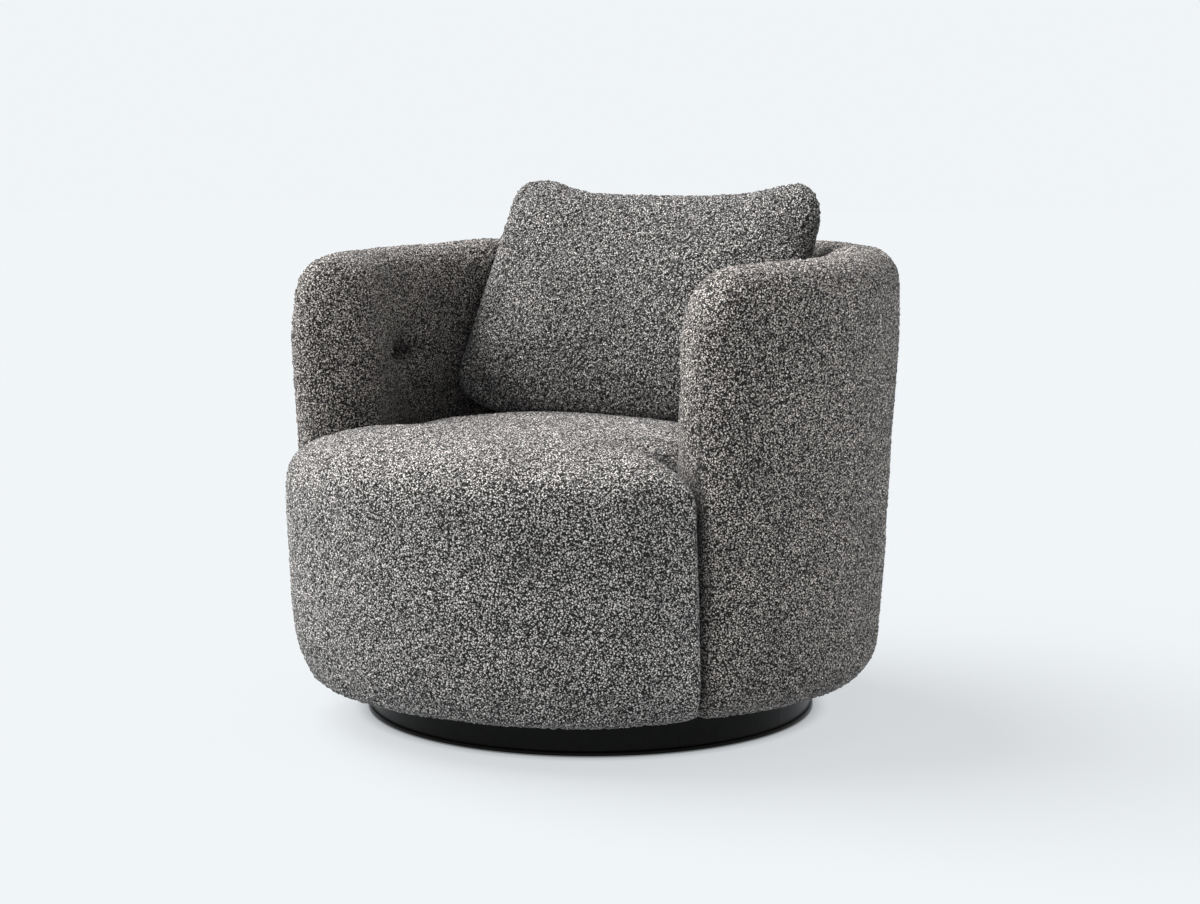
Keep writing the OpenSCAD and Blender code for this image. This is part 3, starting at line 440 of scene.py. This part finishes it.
def apply_modifier(piece, kind, **settings):
    made = piece.modifiers.new(kind.lower(), kind)
    for key, value in settings.items():
        setattr(made, key, value)
    make_active(piece)
    bpy.ops.object.modifier_apply(modifier=made.name)


def swell(piece, voxel, pressure, cap, kept):
    """Lets air pressure fill a padded form out, as its stuffing does, and evens its mesh.
    kept(place) is how firmly the cover is held there, from 0 to 1. No point moves over cap."""
    apply_modifier(piece, "REMESH", mode="VOXEL", voxel_size=voxel)
    mesh = piece.data
    before = [v.co.copy() for v in mesh.vertices]
    group = piece.vertex_groups.new(name="kept")
    for v in mesh.vertices:
        group.add([v.index], kept(v.co), "REPLACE")
    cloth = piece.modifiers.new("cloth", "CLOTH")
    cloth.settings.use_pressure = True
    cloth.settings.uniform_pressure_force = pressure
    cloth.settings.effector_weights.gravity = 0
    cloth.settings.vertex_group_mass = "kept"
    cloth.settings.quality = 4
    for moment in range(1, swell_moments + 1):
        scene.frame_set(moment)
    make_active(piece)
    bpy.ops.object.modifier_apply(modifier="cloth")
    scene.frame_set(1)
    for v, start in zip(piece.data.vertices, before):
        move = v.co - start
        if move.length > cap:
            v.co = start + move * (cap / move.length)
    piece.vertex_groups.clear()


def ease(share):
    """Runs softly from 0 to 1."""
    share = min(1, max(0, share))
    return share * share * (3 - 2 * share)


def ruffle(piece, size, depth, free, middle=0.5):
    """Raises and sinks the cover by up to depth, in soft lumps of that size.
    free(place) is 0 where the cover is sewn down or lies against its neighbour."""
    lumps = bpy.data.textures.new(piece.name + "_lumps", "CLOUDS")
    lumps.noise_scale = size
    lumps.noise_depth = 1
    group = piece.vertex_groups.new(name="free")
    for v in piece.data.vertices:
        group.add([v.index], free(v.co), "REPLACE")
    apply_modifier(piece, "DISPLACE", texture=lumps, texture_coords="LOCAL", strength=depth,
        mid_level=middle, vertex_group="free")
    piece.vertex_groups.clear()


def wall_heart(place):
    """The point of the middle line of the wall's padding that a place belongs to."""
    angle = atan2(place.x, -place.y)
    least = radians(arm_face_deg + heart_behind_face_deg)
    if abs(angle) < least:
        angle = least if angle > 0 else -least
    z = min(max(place.z, wall_low), wall_high)
    r = wall_middle_r - wall_draw_in * (wall_high - z)
    return Vector((r * sin(angle), -r * cos(angle), z))


def edge_drop(back, size):
    """How far a rounded edge lies in from the side, at a distance back from its end."""
    if back >= size:
        return 0
    across = size - max(back, 0)
    return size - (size * size - across * across) ** 0.5


def round_nose(piece):
    """Rounds the end of each arm further above the seat, where it stands free."""
    for v in piece.data.vertices:
        angle = atan2(v.co.x, -v.co.y)
        r = hypot(v.co.x, v.co.y)
        middle = wall_middle_r - wall_draw_in * (wall_high - min(v.co.z, wall_high))
        back = (abs(angle) - radians(arm_face_deg)) * wall_middle_r
        if back > nose_l or v.co.z < nose_low:
            continue
        rise = min(1, (v.co.z - nose_low) / nose_blend)
        now = wall_half - edge_drop(back, face_round)
        then = wall_half - edge_drop(back, nose_l)
        share = 1 + (then / now - 1) * rise
        r = middle + (r - middle) * share
        v.co.x, v.co.y = r * sin(angle), -r * cos(angle)


def crest_sink(angle):
    """How far the worn top has sunk, at an angle from the front of the chair."""
    for (start, a), (end, b) in zip(crest_sinks, crest_sinks[1:]):
        if angle <= radians(end):
            return a + (b - a) * ease((angle - radians(start)) / radians(end - start))
    return b


def fill_out(piece):
    """The padding has sunk a little along the top, and stands out at the side and the hem."""
    for v in piece.data.vertices:
        angle = abs(atan2(v.co.x, -v.co.y))
        r = hypot(v.co.x, v.co.y)
        high = ease((v.co.z - crest_low) / crest_blend)
        v.co.z -= crest_sink(angle) * high
        if r < wall_middle_r:
            continue
        behind_face = (angle - radians(arm_face_deg + face_fill_deg)) / radians(face_blend_deg)
        clear = max(ease(behind_face), ease((v.co.z - seat_side_z) / seat_side_blend))
        fill = side_fill * ease((v.co.z - side_fill_low) / side_fill_blend) - shoulder_in * high
        fill -= nose_top_in * high * ease(
            (radians(nose_top_deg) - angle) / radians(nose_top_blend_deg))
        at_hem = hem_fill * ease((v.co.z - hem_fill_low) / hem_fill_low_blend)
        fill += at_hem * ease((hem_fill_high - v.co.z) / hem_fill_high_blend)
        v.co.x *= 1 + clear * fill / r
        v.co.y *= 1 + clear * fill / r


def pull_tufts(piece):
    """Draws the cover in at the tuft of each arm, with a short level crease through it."""
    for v in piece.data.vertices:
        r = hypot(v.co.x, v.co.y)
        along = (abs(atan2(v.co.x, -v.co.y)) - radians(tuft_deg)) * tuft_r
        up = v.co.z - tuft_z
        if r > wall_middle_r - tuft_side_in or hypot(along, up) > tuft_reach:
            continue
        pit = tuft_pit * exp(-(along * along + up * up) / tuft_pit_r ** 2)
        crease = tuft_crease * exp(-(along / tuft_crease_l) ** 2 - (up / tuft_crease_w) ** 2)
        v.co.x *= 1 + (pit + crease) / r
        v.co.y *= 1 + (pit + crease) / r


def tub_free(place):
    """The tub's cover is free, but for the arm faces and the inside below the seat's top."""
    angle = abs(atan2(place.x, -place.y))
    off_face = ease((angle - radians(arm_face_deg + face_free_deg)) / radians(face_blend_deg))
    off_seat = ease((place.z - seat_top_z) / seat_top_blend)
    inside = hypot(place.x, place.y) < wall_middle_r
    return off_seat if inside else max(off_face, off_seat)


def tub_kept(place):
    """The tub's cover is stapled at the hem, and held by its tufts."""
    if place.z < stapled_z:
        return 1
    held = tub_hold
    for side in (-1, 1):
        tuft = Vector((side * tuft_r * sin(radians(tuft_deg)), -tuft_r * cos(radians(tuft_deg)),
            tuft_z))
        away = (place - tuft).length
        held = max(held, 1 - away / tuft_hold_r)
    return min(1, held)


def bridge_rims(piece):
    """Joins the rim at the hem to the rim under the seat, where the inside ends."""
    make_active(piece)
    bpy.ops.object.mode_set(mode="EDIT")
    bpy.ops.mesh.select_all(action="DESELECT")
    bpy.ops.object.mode_set(mode="OBJECT")
    edge_uses = {}
    for face in piece.data.polygons:
        for key in face.edge_keys:
            edge_uses[key] = edge_uses.get(key, 0) + 1
    for edge in piece.data.edges:
        ends = [piece.data.vertices[i].co for i in edge.vertices]
        low_rim = all(e.z < hem_z and hypot(e.x, e.y) < hem_rim_r for e in ends)
        inner_rim = all(inner_rim_low < e.z < inner_rim_high for e in ends)
        edge.select = edge_uses[edge.key] == 1 and (low_rim or inner_rim)
    bpy.ops.object.mode_set(mode="EDIT")
    bpy.ops.mesh.bridge_edge_loops()
    bpy.ops.object.mode_set(mode="OBJECT")


tub = outer_sheet("tub_cover", "tub_upholstery", wall_heart)
bridge_rims(tub)
close_open_edges(tub)
apply_modifier(tub, "SUBSURF", levels=2)
round_nose(tub)
fill_out(tub)
swell(tub, tub_voxel, cover_pressure, cover_swell, tub_kept)
apply_modifier(tub, "SUBSURF", levels=2)
pull_tufts(tub)
ruffle(tub, lump_l, lump_h, tub_free)
ruffle(tub, loop_l, tub_loop_h, tub_free, loop_rise)


def boucle(name, yarns, seed):
    """Looped yarn in mixed tones: small curled nubs, each of one tone, with gaps between them
    painted dark, partly as painted shade, fine fibres over all, and soft clouds where the loops
    lie flatter. Between two pieces that stand close, the colour is darkened as painted shade."""
    finish, tree, shader, place = new_finish(name, 0.92)
    shader.inputs["Specular IOR Level"].default_value = 0.2
    shader.inputs["Sheen Weight"].default_value = yarn_sheen
    shader.inputs["Sheen Roughness"].default_value = 0.5
    at = put(tree, "Mapping", {"Vector": place, "Location": (seed, 2 * seed, 3 * seed)})
    at = at.outputs["Vector"]
    curl = put(tree, "TexNoise", {"Vector": at, "Scale": curls_per_metre, "Detail": 2})
    curl = put(tree, "VectorMath", {0: curl.outputs["Color"], 1: (0.5, 0.5, 0.5)},
        operation="SUBTRACT")
    curl = put(tree, "VectorMath", {0: curl.outputs["Vector"], "Scale": curl_reach},
        operation="SCALE")
    curled = put(tree, "VectorMath", {0: at, 1: curl.outputs["Vector"]}, operation="ADD")
    loops = []
    for per_metre, least, most, shift in nub_layers:
        moved = put(tree, "Mapping",
            {"Vector": curled.outputs["Vector"], "Location": (shift, shift, shift)})
        nubs = put(tree, "TexVoronoi", {"Vector": moved.outputs["Vector"], "Scale": per_metre})
        round_top = put(tree, "MapRange", {"Value": nubs.outputs["Distance"],
            "From Min": nub_top, "From Max": nub_edge, "To Min": 1.0, "To Max": 0.0})
        chance = put(tree, "SeparateColor", {"Color": nubs.outputs["Color"]})
        size = put(tree, "MapRange",
            {"Value": chance.outputs["Red"], "To Min": least, "To Max": most})
        loops.append(put(tree, "Math",
            {0: round_top.outputs["Result"], 1: size.outputs["Result"]}, operation="MULTIPLY"))
    height = put(tree, "Math", {0: loops[0].outputs["Value"], 1: loops[1].outputs["Value"]},
        operation="MAXIMUM")
    fibres = put(tree, "TexNoise", {"Vector": at, "Scale": fibres_per_metre, "Detail": 3})
    mixed = put(tree, "Mix",
        {0: fibre_share, 2: height.outputs["Value"], 3: fibres.outputs["Fac"]})
    # The gaps between the nubs take the darkest tones, partly as painted shade.
    tone = ramp(tree, mixed.outputs[0], yarns)
    clouds = put(tree, "TexNoise", {"Vector": at, "Scale": clouds_per_metre, "Detail": 3})
    cloud_tone = put(tree, "MapRange", {"Value": clouds.outputs["Fac"],
        "From Min": cloud_thin, "From Max": cloud_thick, "To Min": cloud_least,
        "To Max": cloud_most})
    # Painted shade: the colour darkens where other pieces stand close.
    open_air = put(tree, "AmbientOcclusion", {"Distance": nook_reach}, samples=8)
    painted_nook_shade = put(tree, "MapRange", {"Value": open_air.outputs["AO"],
        "From Min": nook_closed, "From Max": nook_open, "To Min": nook_shade, "To Max": 1.0})
    shade = put(tree, "Math", {0: cloud_tone.outputs["Result"], 1: painted_nook_shade.outputs["Result"]},
        operation="MULTIPLY")
    final = put(tree, "Mix", {0: 1.0, 6: tone, 7: shade.outputs["Value"]},
        data_type="RGBA", blend_type="MULTIPLY")
    tree.links.new(final.outputs[2], shader.inputs["Base Color"])
    bump(tree, shader, height.outputs["Value"], nub_h)
    return finish


def dress(piece, finish, body, node, padding):
    """Finishes a padded piece: smooth, on its body, and in place of its CAD solids."""
    piece.data.materials.clear()
    piece.data.materials.append(finish)
    make_active(piece)
    bpy.ops.object.shade_smooth()
    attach(piece, body)
    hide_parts(node, padding)


def paint_fold_shade(finish):
    """Darkens the colour as painted shade in the tufts and along the blind seam that runs on up
    each arm from the corner of the seat and fades."""
    tree = finish.node_tree
    shader = tree.nodes["Principled BSDF"]
    place = put(tree, "TexCoord").outputs["Object"]
    x, y, z = put(tree, "SeparateXYZ", {"Vector": place}).outputs
    x = put(tree, "Math", {0: x}, operation="ABSOLUTE").outputs["Value"]
    y = put(tree, "Math", {0: y, 1: -1.0}, operation="MULTIPLY").outputs["Value"]
    place = put(tree, "CombineXYZ", {"X": x, "Y": y, "Z": z}).outputs["Vector"]
    angle = put(tree, "Math", {0: x, 1: y}, operation="ARCTAN2").outputs["Value"]
    off = put(tree, "Math", {0: angle, 1: radians(seam_deg)}, operation="SUBTRACT")
    off = put(tree, "Math", {0: off.outputs["Value"]}, operation="ABSOLUTE").outputs["Value"]
    flat = put(tree, "VectorMath", {0: place, 1: (1, 1, 0)}, operation="MULTIPLY")
    r = put(tree, "VectorMath", {0: flat.outputs["Vector"]}, operation="LENGTH").outputs["Value"]
    shade = None
    for value, none, full in [(off, radians(seam_half_deg), 0.0), (z, seam_end, seam_full),
            (r, seam_r, seam_r + seam_r_blend)]:
        part = put(tree, "MapRange", {"Value": value, "From Min": none, "From Max": full},
            interpolation_type="SMOOTHSTEP").outputs["Result"]
        shade = part if shade is None else put(tree, "Math", {0: shade, 1: part},
            operation="MULTIPLY").outputs["Value"]
    tuft = (tuft_r * sin(radians(tuft_deg)), tuft_r * cos(radians(tuft_deg)), tuft_z)
    away = put(tree, "VectorMath", {0: place, 1: tuft}, operation="SUBTRACT")
    away = put(tree, "VectorMath", {0: away.outputs["Vector"],
        1: (1 / tuft_dark_l, 1 / tuft_dark_l, 1 / tuft_dark_h)}, operation="MULTIPLY")
    away = put(tree, "VectorMath", {0: away.outputs["Vector"]}, operation="LENGTH")
    pit = put(tree, "MapRange", {"Value": away.outputs["Value"], "From Min": 1.0,
        "From Max": 0.1, "To Max": tuft_shade}, interpolation_type="SMOOTHSTEP")
    shade = put(tree, "Math", {0: shade, 1: seam_shade}, operation="MULTIPLY").outputs["Value"]
    shade = put(tree, "Math", {0: shade, 1: pit.outputs["Result"]}, operation="MAXIMUM")
    # The base colour is mixed towards a near-black tone as painted shade.
    lit = shader.inputs["Base Color"].links[0].from_socket
    fold_shaded_colour = put(tree, "Mix", {0: shade.outputs["Value"], 6: lit, 7: painted_fold_shade_tone},
        data_type="RGBA")
    tree.links.new(fold_shaded_colour.outputs[2], shader.inputs["Base Color"])


tub_finish = boucle("boucle_tub", tub_yarns, 0.0)
paint_fold_shade(tub_finish)
dress(tub, tub_finish, "chair", "tub_cover", "tub_foam")

# ---- Seat cover ----
# The seat is a crowned foam block between the arms. Its boucle cover runs down the front as an
# apron, stands a little proud of the arms and is tucked under at the hem.
seat_heart_share, seat_heart_y = 0.75, -0.07
seat_heart_z, seat_heart_rise, seat_crown_z = 0.2, 0.05, 0.3
seat_voxel = 0.008
seat_hold = 0.2
seat_loop_h = 0.0052
apron_deg, apron_blend_deg = 52, 4
deck_z, deck_r, deck_blend = 0.36, 0.29, 0.02
front_skin_r = 0.3
apron_fill = 0.0014
apron_low, apron_low_blend = 0.10, 0.05
apron_high, apron_high_blend = 0.36, 0.08
hem_turn_in = 0.004
hem_turn_low, hem_turn_low_blend = 0.057, 0.01
hem_turn_high, hem_turn_high_blend = 0.12, 0.05
# The seat's yarn tones are set lighter than the tub's, partly as painted light on the same boucle.
seat_yarns_and_painted_light = [
    (0.00, (0.008, 0.008, 0.008)),
    (0.29, (0.037, 0.035, 0.033)),
    (0.51, (0.420, 0.398, 0.381)),
    (0.75, (1.000, 0.948, 0.912)),
]


def seat_heart(place):
    """A point in the seat's foam, below the crown or behind the apron."""
    y = seat_heart_y + (place.y - seat_heart_y) * seat_heart_share
    z = seat_heart_z + seat_heart_rise * (place.z > seat_crown_z)
    return Vector((place.x * seat_heart_share, y, z))


def seat_kept(place):
    """The seat's cover is stapled at the hem."""
    return 1 if place.z < stapled_z else seat_hold


def seat_free(place):
    """The seat's cover lies free on the apron and on the deck, and not against the arms."""
    angle = abs(atan2(place.x, -place.y))
    off_arm = ease((radians(apron_deg) - angle) / radians(apron_blend_deg))
    on_top = ease((place.z - deck_z) / deck_blend) * ease(
        (deck_r - hypot(place.x, place.y)) / deck_blend)
    return max(off_arm, on_top)


def fill_apron(piece):
    """The apron stands out over its height and turns in early at the hem."""
    for v in piece.data.vertices:
        r = hypot(v.co.x, v.co.y)
        if v.co.y > 0 or r < front_skin_r:
            continue
        fill = apron_fill * ease((v.co.z - apron_low) / apron_low_blend)
        fill *= ease((apron_high - v.co.z) / apron_high_blend)
        turn_in = hem_turn_in * ease((v.co.z - hem_turn_low) / hem_turn_low_blend)
        fill -= turn_in * ease((hem_turn_high - v.co.z) / hem_turn_high_blend)
        v.co.x *= 1 + fill * seat_free(v.co) / r
        v.co.y *= 1 + fill * seat_free(v.co) / r


seat = outer_sheet("seat_cover", "seat_upholstery", seat_heart)
close_open_edges(seat)
apply_modifier(seat, "SUBSURF", levels=2)
fill_apron(seat)
swell(seat, seat_voxel, cover_pressure, cover_swell, seat_kept)
apply_modifier(seat, "SUBSURF", levels=2)
ruffle(seat, lump_l, lump_h, seat_free)
ruffle(seat, loop_l, seat_loop_h, seat_free, loop_rise)
dress(seat, boucle("boucle_seat", seat_yarns_and_painted_light, 1.3), "chair", "seat_cover",
    "seat_foam")

# ---- Back pillow ----
# A loose pillow of fibre in a boucle cover, plump in the middle, with soft ears at its top
# corners. It stands on the seat and leans on the round back.
pillow_heart_share, pillow_heart_bend = 0.7, 0.4
pillow_heart_y, pillow_heart_z = 0.155, 0.55
pillow_voxel = 0.007
pillow_pressure, pillow_swell = 4, 0.010
pillow_lump_h, pillow_loop_h = 0.004, 0.0052
pillow_half_w, pillow_half_h = 0.269, 0.185
pillow_middle = Vector((0, 0.145, 0.5473))
pillow_lean = radians(24.5)
pillow_curl = 0.035
pillow_half_t = 0.060
ear_lifts = {-1: 0.016, 1: 0.010}
side_spread = {-1: 0.010, 1: 0.000}
ear_in, ear_in_blend = 0.45, 0.35
ear_low, ear_low_blend = 0.3, 0.5
ear_out, ear_out_blend = 0.80, 0.18
spread_blend = 0.6
pillow_dip = 0.006
pillow_square, pillow_most_out = 3, 0.995
pillow_flat, pillow_plump = 2.9, 1.95
seam_hold, seam_hold_share = 1.3, 0.5
# The pillow's yarn tones are set darker than the tub's, partly as painted shade on the same
# boucle.
pillow_yarns_and_painted_shade = [
    (0.00, (0.007, 0.007, 0.007)),
    (0.32, (0.030, 0.029, 0.028)),
    (0.56, (0.342, 0.325, 0.313)),
    (0.85, (0.960, 0.912, 0.880)),
]


def pillow_heart(place):
    """A point in the pillow's filling, which curls forward at the sides as the wall does."""
    y = pillow_heart_y - pillow_heart_bend * place.x * place.x
    return Vector((place.x * pillow_heart_share, y, pillow_heart_z))


pillow_up = Vector((0, sin(pillow_lean), cos(pillow_lean)))
pillow_front = Vector((0, -cos(pillow_lean), sin(pillow_lean)))


def over_seam(place):
    """How far a place lies in front of the seam that runs round the pillow."""
    return (place - pillow_middle).dot(pillow_front) - pillow_curl * (
        place.x / pillow_half_w) ** 2


def shape_pillow(piece):
    """Fills the middle, thins the pillow towards its seam and draws its ears out."""
    for v in piece.data.vertices:
        across = abs(v.co.x) / pillow_half_w
        up = (v.co - pillow_middle).dot(pillow_up) / pillow_half_h
        out = (across ** pillow_square + abs(up) ** pillow_square) ** (1 / pillow_square)
        out = min(pillow_most_out, out)
        thin = ((1 - out ** pillow_plump) ** (1 / pillow_plump)
            / (1 - out ** pillow_flat) ** (1 / pillow_flat))
        front = over_seam(v.co)
        if front > 0:
            v.co -= pillow_front * front * (1 - thin)
        side = 1 if v.co.x > 0 else -1
        ear = ease((across - ear_in) / ear_in_blend) * ease((up - ear_low) / ear_low_blend)
        if side > 0:
            ear *= 1 - ease((across - ear_out) / ear_out_blend)
        v.co += pillow_up * (ear_lifts[side] * ear
            - pillow_dip * ease(up) * (1 - min(1, across) ** 2))
        v.co.x += side * side_spread[side] * ease(across / spread_blend)


def pillow_kept(place):
    """The seam round the pillow keeps its line, and the faces swell."""
    off_seam = abs(over_seam(place)) / (seam_hold_share * pillow_half_t)
    return max(0, min(1, seam_hold - off_seam))


def pillow_free(place):
    """The pillow's cover lies free all over."""
    return 1


pillow = outer_sheet("pillow_cover", "back_pillow", pillow_heart)
apply_modifier(pillow, "SUBSURF", levels=2)
shape_pillow(pillow)
swell(pillow, pillow_voxel, pillow_pressure, pillow_swell, pillow_kept)
apply_modifier(pillow, "SUBSURF", levels=2)
ruffle(pillow, lump_l, pillow_lump_h, pillow_free)
ruffle(pillow, loop_l, pillow_loop_h, pillow_free, loop_rise)
dress(pillow, boucle("boucle_pillow", pillow_yarns_and_painted_shade, 2.7), "pillow",
    "pillow_cover", "pillow_insert")

bpy.context.view_layer.update()
